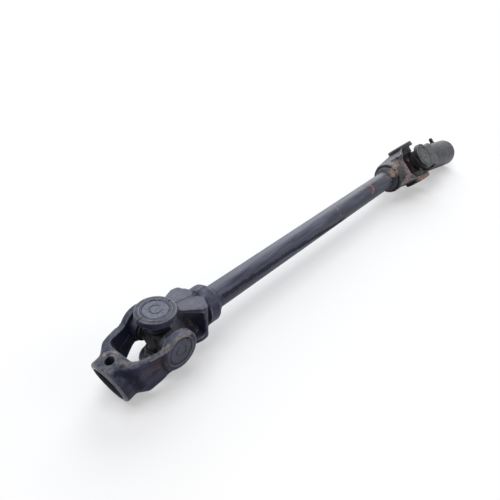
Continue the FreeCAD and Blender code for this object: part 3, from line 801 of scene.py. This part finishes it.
def weldBead(name, bead, material, look=beadLook):
    # a ring's section falls from its root at the collar to its toe on the bar, swollen between them, and
    # crescents follow each other round it: |sin| of the angle, lagging towards the toe
    centre = ends[bead["end"]]["centre"]
    bar = look["bar"]
    share = np.linspace(0, 1, look["rows"])
    fall = bar + look["toe"] + (bead["root"] - bar) * (1 - share) + look["swell"] * np.sin(np.pi * share)
    outer = np.stack([fall, bead["start"] + bead["run"] * share], axis=1)
    back = bead["start"] - look["back"]
    under = np.array([(bar - look["sink"], bead["start"] + bead["run"]), (bar - look["sink"], back)])
    profile = np.concatenate([[(bead["root"], back)], outer, under])

    def rippled(r, h, angle):
        run = ((h - bead["start"]) / bead["run"]).clip(0, 1)
        lag = look["lag"] * run ** 2 + look["sway"] * np.sin(angle * 5)
        crest = np.abs(np.sin(angle * bead["ripples"] / 2 + lag))
        return r + (crest - 0.6) * bead["depth"] * np.sin(np.pi * run) * (r > bar)

    def wandering(r, h, angle):
        toe = ((h - bead["start"]) / bead["run"]).clip(0, 1)
        sway = np.sin(angle * 3 + 1) + np.sin(angle * 7) * 0.5
        return h + toe * (r > bar - 0.0001) * look["wander"] * sway

    grid = turnedGrid(profile, centre, bead["way"], look["turns"], rippled, wandering)
    mesh = meshFromGrid(name, grid, loopBack=True, sharpAngle=60.0)
    storeMarks(mesh, readPoints(mesh), bead["marks"])
    placePiece(name, mesh, material, bodyOf("shaft"), bead["slot"])


# what the photograph shows on each piece: stain, reach, strength, and a path from the front joint's centre
yokes = {
    "frontShaftYoke": {
        "node": "front_shaft_yoke", "end": "front", "arm": "innerAxis", "way": barAxis, "bore": 0.0129,
        "wall": 0.0129, "slot": "front_shaft_yoke_paint", "seed": 3,
        "marks": [
            ("tan", 0.0060, 0.55, [(0.0286, 0.0075, -0.0171), (0.0330, 0.0040, -0.0160)]),
            ("pink", 0.0050, 0.45, [(0.0370, -0.0100, -0.0120), (0.0400, 0.0050, -0.0100)]),
        ],
    },
    "rearShaftYoke": {
        "node": "rear_shaft_yoke", "end": "rear", "arm": "innerAxis", "way": -barAxis, "bore": 0.0129,
        "wall": 0.0129, "slot": "rear_shaft_yoke_paint", "seed": 17,
        "marks": [
            ("tan", 0.0085, 1.00, [(0.4360, -0.0056, 0.0137), (0.4330, -0.0100, 0.0120)]),
            ("tan", 0.0045, 0.85, [(0.4372, -0.0083, 0.0193), (0.4420, -0.0060, 0.0210)]),
            ("pink", 0.0066, 1.00, [
                (0.4483, -0.0030, 0.0215), (0.4562, -0.0050, 0.0212), (0.4570, -0.0110, 0.0175),
                (0.4572, -0.0156, 0.0135), (0.4590, -0.0230, 0.0075), (0.4530, -0.0235, -0.0010),
                (0.4470, -0.0215, -0.0060),
            ]),
            ("tan", 0.0085, 1.00, [
                (0.5110, -0.0321, -0.0077), (0.4996, -0.0317, -0.0073), (0.4931, -0.0269, -0.0083),
            ]),
            ("maroon", 0.0180, 0.90, [(0.4700, 0.0000, 0.0000), (0.4900, -0.0050, 0.0000)]),
        ],
    },
    "endYoke": {
        "node": "front_end_yoke", "end": "front", "arm": "outerAxis", "way": ends["front"]["hubWay"],
        "bore": 0.0182, "wall": 0.0189, "mouthRun": 0.0022, "slot": "end_yoke_paint", "seed": 31,
        "marks": [
            ("bare", 0.0042, 1.00, [
                (-0.0480, -0.0080, 0.0080), (-0.0440, -0.0140, 0.0070), (-0.0353, -0.0192, 0.0091),
                (-0.0250, -0.0235, 0.0100), (-0.0155, -0.0277, 0.0113), (-0.0060, -0.0302, 0.0150),
                (0.0040, -0.0306, 0.0150), (0.0109, -0.0306, 0.0139),
            ]),
            ("tan", 0.0030, 0.68, [
                (-0.0200, -0.0265, 0.0113), (-0.0060, -0.0295, 0.0165), (0.0109, -0.0300, 0.0140),
            ]),
            ("tan", 0.0038, 0.66, [
                (-0.0500, 0.0095, 0.0070), (-0.0446, 0.0080, 0.0080), (-0.0420, 0.0030, 0.0085),
            ]),
            ("bare", 0.0036, 0.75, [
                (-0.0500, 0.0095, 0.0070), (-0.0446, 0.0080, 0.0080), (-0.0420, 0.0030, 0.0085),
            ]),
            ("bare", 0.0050, 0.70, [
                (-0.0583, -0.0040, 0.0064), (-0.0560, -0.0075, 0.0071), (-0.0600, 0.0010, 0.0061),
            ]),
            ("brick", 0.0046, 0.74, [
                (-0.0380, -0.0262, -0.0005), (-0.0272, -0.0270, -0.0025), (-0.0213, -0.0277, -0.0032),
            ]),
            ("maroon", 0.0050, 0.60, [(-0.0300, -0.0275, 0.0040), (-0.0200, -0.0280, 0.0030)]),
            ("oilAndShade", 0.0060, 0.72, [
                (-0.0520, -0.0130, 0.0040), (-0.0456, -0.0225, -0.0014), (-0.0411, -0.0251, -0.0154),
            ]),
            ("oilAndShade", 0.0036, 0.62, [(-0.0564, -0.0126, 0.0031), (-0.0485, -0.0114, 0.0061)]),
        ],
    },
    "slipYoke": {
        "node": "rear_slip_yoke", "end": "rear", "arm": "outerAxis", "way": ends["rear"]["hubWay"],
        "bore": 0.0138, "wall": 0.0150, "slot": "slip_yoke_paint", "seed": 47,
        "marks": [
            ("maroon", 0.0140, 0.80, [(0.5300, -0.0080, 0.0000), (0.5200, -0.0050, -0.0050)]),
        ],
    },
}
barMarks = [
    # a painted dark reflection band along the bar's lower side, where the bar reflects no light
    ("oilAndShade", 0.0030, 0.90, [
        (0.0750, -0.0112, 0.0060), (0.1818, -0.0121, 0.0037), (0.2970, -0.0123, -0.0032),
    ]),
    ("pink", 0.0010, 0.72, [
        (0.2925, 0.0000, 0.0127), (0.2919, -0.0027, 0.0123), (0.2893, -0.0084, 0.0094),
    ]),
    ("pink", 0.0012, 0.80, [(0.2890, -0.0105, 0.0070), (0.2898, -0.0118, 0.0047)]),
    ("red", 0.0020, 1.00, [
        (0.3695, 0.0010, 0.0127), (0.3735, 0.0000, 0.0127), (0.3770, -0.0025, 0.0124),
        (0.3784, -0.0055, 0.0114), (0.3777, -0.0088, 0.0091), (0.3740, -0.0105, 0.0071),
        (0.3708, -0.0112, 0.0059),
    ]),
    ("pink", 0.0026, 0.60, [(0.3880, 0.0000, 0.0127), (0.3930, -0.0010, 0.0126)]),
    ("tan", 0.0035, 0.70, [(0.4234, -0.0078, 0.0099), (0.4200, -0.0060, 0.0110)]),
]
beads = {
    "frontBead": {
        "end": "front", "way": barAxis, "start": 0.0636, "run": 0.0064, "root": 0.0164, "ripples": 30,
        "depth": 0.00028, "slot": "front_shaft_yoke_paint", "marks": [],
    },
    "rearBead": {
        "end": "rear", "way": -barAxis, "start": 0.0710, "run": 0.0080, "root": 0.0175, "ripples": 32,
        "depth": 0.00034, "slot": "rear_shaft_yoke_paint",
        "marks": [("tan", 0.0075, 1.00, [(0.4360, -0.0056, 0.0140), (0.4310, -0.0090, 0.0120)])],
    },
}
shaftMouth = 0.2  # the bar's yokes have no open bore, so their mouth lies far out of the way
for name, yoke in yokes.items():
    here = ends[yoke["end"]]
    mouth = here["centre"] + yoke["way"] * shaftMouth
    if yoke["arm"] == "outerAxis":
        mouth = here["boreMouth"]
    paint = forgedPaint(
        name + "Paint", paints[yoke["end"]], here["centre"], np.cross(yoke["way"], here[yoke["arm"]]),
        yoke["way"], mouth, yoke["bore"], yoke["wall"],
    )
    forgedSkin(name, yoke, forging, paint)
barGloss = {"specular": 0.36, "roughness": 0.31, "dustAndTopLightCover": 0.38}
drawnBar("bar", "shaft", barPaint("barPaint", {**black, **barGloss}), "bar_paint", barMarks)
rubbedSmall = 0.5  # how far the rubbed specks show on the beads and the snap rings
for name, bead in beads.items():
    weldBead(name, bead, smallPaint(name + "Paint", paints[bead["end"]], rubbedSmall))
print("yokes, bar and beads made")


def repaint(nodeName, material):
    # a CAD node whose shape is right keeps it and only gets a finish
    cadNodes[nodeName].data.materials.clear()
    cadNodes[nodeName].data.materials.append(material)


sealFinish = sealRubber("sealRubber")
rollerFinish = brightSteel("rollerSteel")
# the cup faces get a heavy film of dust, which also paints their tops lighter as painted top light
cupGloss = {"dustAndTopLightCover": 0.90, "specular": 0.46}
cupPlaces = {"upper": "innerAxis", "lower": "innerAxis", "near": "outerAxis", "far": "outerAxis"}
for end, here in ends.items():
    cupFinish = smallPaint(end + "CupPaint", {**paints[end], **cupGloss})
    ringFinish = smallPaint(end + "RingPaint", paints[end], rubbedSmall)
    repaint(end + "_cross", greasyShadedSteel(end + "GreasyShadedSteel", greaseAndShadeLooks[end]))
    for place, axisName in cupPlaces.items():
        title = end.capitalize() + place.capitalize()
        centre = here["centre"]
        # the joint's axis is turned towards the node that it belongs to
        way = here[axisName]
        cupNode = end + "_bearing_cup_" + place
        way = way * np.sign((readPoints(cadNodes[cupNode].data).mean(axis=0) - centre) @ way)
        sealNode = end + "_trunnion_seal_" + place
        ringNode = end + "_retaining_ring_" + place
        bearingCup("cup" + title, cupNode, centre, way, cupFinish, end + "_cup_paint")
        trunnionSeal("seal" + title, sealNode, centre, way, sealFinish, end + "_seal_rubber")
        snapRing("snapRing" + title, ringNode, centre, way, ringFinish, end + "_ring_steel")
        repaint(end + "_needle_rollers_" + place, rollerFinish)
slipWay = ends["rear"]["hubWay"]
nippleOut = readPoints(cadNodes["grease_nipple"].data).mean(axis=0) - ends["rear"]["centre"]
nippleWay = unit(nippleOut - slipWay * (nippleOut @ slipWay))
greaseNipple("greaseNipple", "grease_nipple", nippleWay, smallPaint("nipplePaint", faded), "nipple_steel")
repaint("slip_yoke_plug", smallPaint("plugPaint", faded))
print("small parts made")


# floor and sky; the floor fades to white past the shaft's half length
stage = {
    "floorSize": 14.0,
    "floorColour": (0.95, 0.95, 0.955, 1.0),
    "floorRoughness": 0.9,
    "floorGlow": 0.38,
    "floorFade": 0.15,
    "halfLength": 0.34,
    "skyStrength": 0.25,
    "skyColour": (0.93, 0.95, 1.0, 1.0),
}


def paleFloor(look):
    # the camera sees more of plain white the farther the floor is from the part, so it has no far edge
    mesh = bpy.data.meshes.new("floor")
    half = look["floorSize"] / 2
    corners = [(-half, -half, 0), (half, -half, 0), (half, half, 0), (-half, half, 0)]
    mesh.from_pydata(corners, [], [(0, 1, 2, 3)])
    floor = bpy.data.objects.new("floor", mesh)
    bpy.context.scene.collection.objects.link(floor)
    bench = newBench("floorPaper")
    past = (abs(bench.along((0, 0, 0), (1, 0, 0))) - look["halfLength"]).most(0.0)
    aside = bench.along((0, 0, 0), (0, 1, 0))
    far = (past * past + aside * aside).step(0.0, look["floorFade"] ** 2)
    share = far * (1 - look["floorGlow"]) + look["floorGlow"]
    paper = bench.surface(look["floorColour"], look["floorRoughness"])
    mesh.materials.append(bench.finish(bench.whitened(paper, share, "Is Camera Ray")))


def studioWorld(look):
    bench = Bench(bpy.data.worlds.new("studio"))
    sky = bench.put("ShaderNodeBackground", {}, {"Color": look["skyColour"], "Strength": look["skyStrength"]})
    seen = bench.whitened(sky, 1.0, "Is Camera Ray", "Is Glossy Ray", "Is Transmission Ray")
    bpy.context.scene.world = bench.finish(seen, "ShaderNodeOutputWorld")


# soft round lamps, each turned to the origin
lamps = {
    "mirrorPanel": {"place": (1.45, 1.20, 1.30), "size": 2.2, "power": 38.0, "colour": (0.92, 0.95, 1.0)},
    "topPanel": {"place": (-0.7, 0.2, 2.4), "size": 2.0, "power": 34.0, "colour": (1.0, 1.0, 1.0)},
    "sidePanel": {"place": (0.9, -1.9, 1.1), "size": 1.6, "power": 9.5, "colour": (1.0, 1.0, 1.0)},
}


def softLamp(name, look):
    data = bpy.data.lights.new(name, "AREA")
    data.shape = "DISK"
    data.size = look["size"]
    data.energy = look["power"]
    data.color = look["colour"]
    lamp = bpy.data.objects.new(name, data)
    lamp.location = look["place"]
    lamp.rotation_euler = (-Vector(look["place"])).to_track_quat("-Z", "Y").to_euler()
    bpy.context.scene.collection.objects.link(lamp)


paleFloor(stage)
for name, look in lamps.items():
    softLamp(name, look)
studioWorld(stage)
print("floor, lamps and world made")

# the photograph's camera; its up is worked out from the other two directions
photoCamera = {
    "fromFrontJoint": (-0.2060, -0.2731, 0.3172),
    "right": (0.646, -0.763, 0.023),
    "forward": (0.642, 0.527, -0.556),
    "sensor": 36.0,
    "lens": 36.297,
    "clip": (0.01, 50.0),
}
cameraData = bpy.data.cameras.new("photoCamera")
cameraData.sensor_width = photoCamera["sensor"]
cameraData.lens = photoCamera["lens"]
cameraData.clip_start, cameraData.clip_end = photoCamera["clip"]
camera = bpy.data.objects.new("photoCamera", cameraData)
bpy.context.scene.collection.objects.link(camera)
right = Vector(photoCamera["right"]).normalized()
forward = Vector(photoCamera["forward"])
forward = (forward - right * forward.dot(right)).normalized()
turn = Matrix((right, right.cross(forward), -forward)).transposed()
cameraPlace = Vector(ends["front"]["centre"]) + Vector(photoCamera["fromFrontJoint"])
camera.matrix_world = Matrix.Translation(cameraPlace) @ turn.to_4x4()
bpy.context.scene.camera = camera
bpy.context.scene.view_settings.view_transform = "Standard"

print("scene ready")
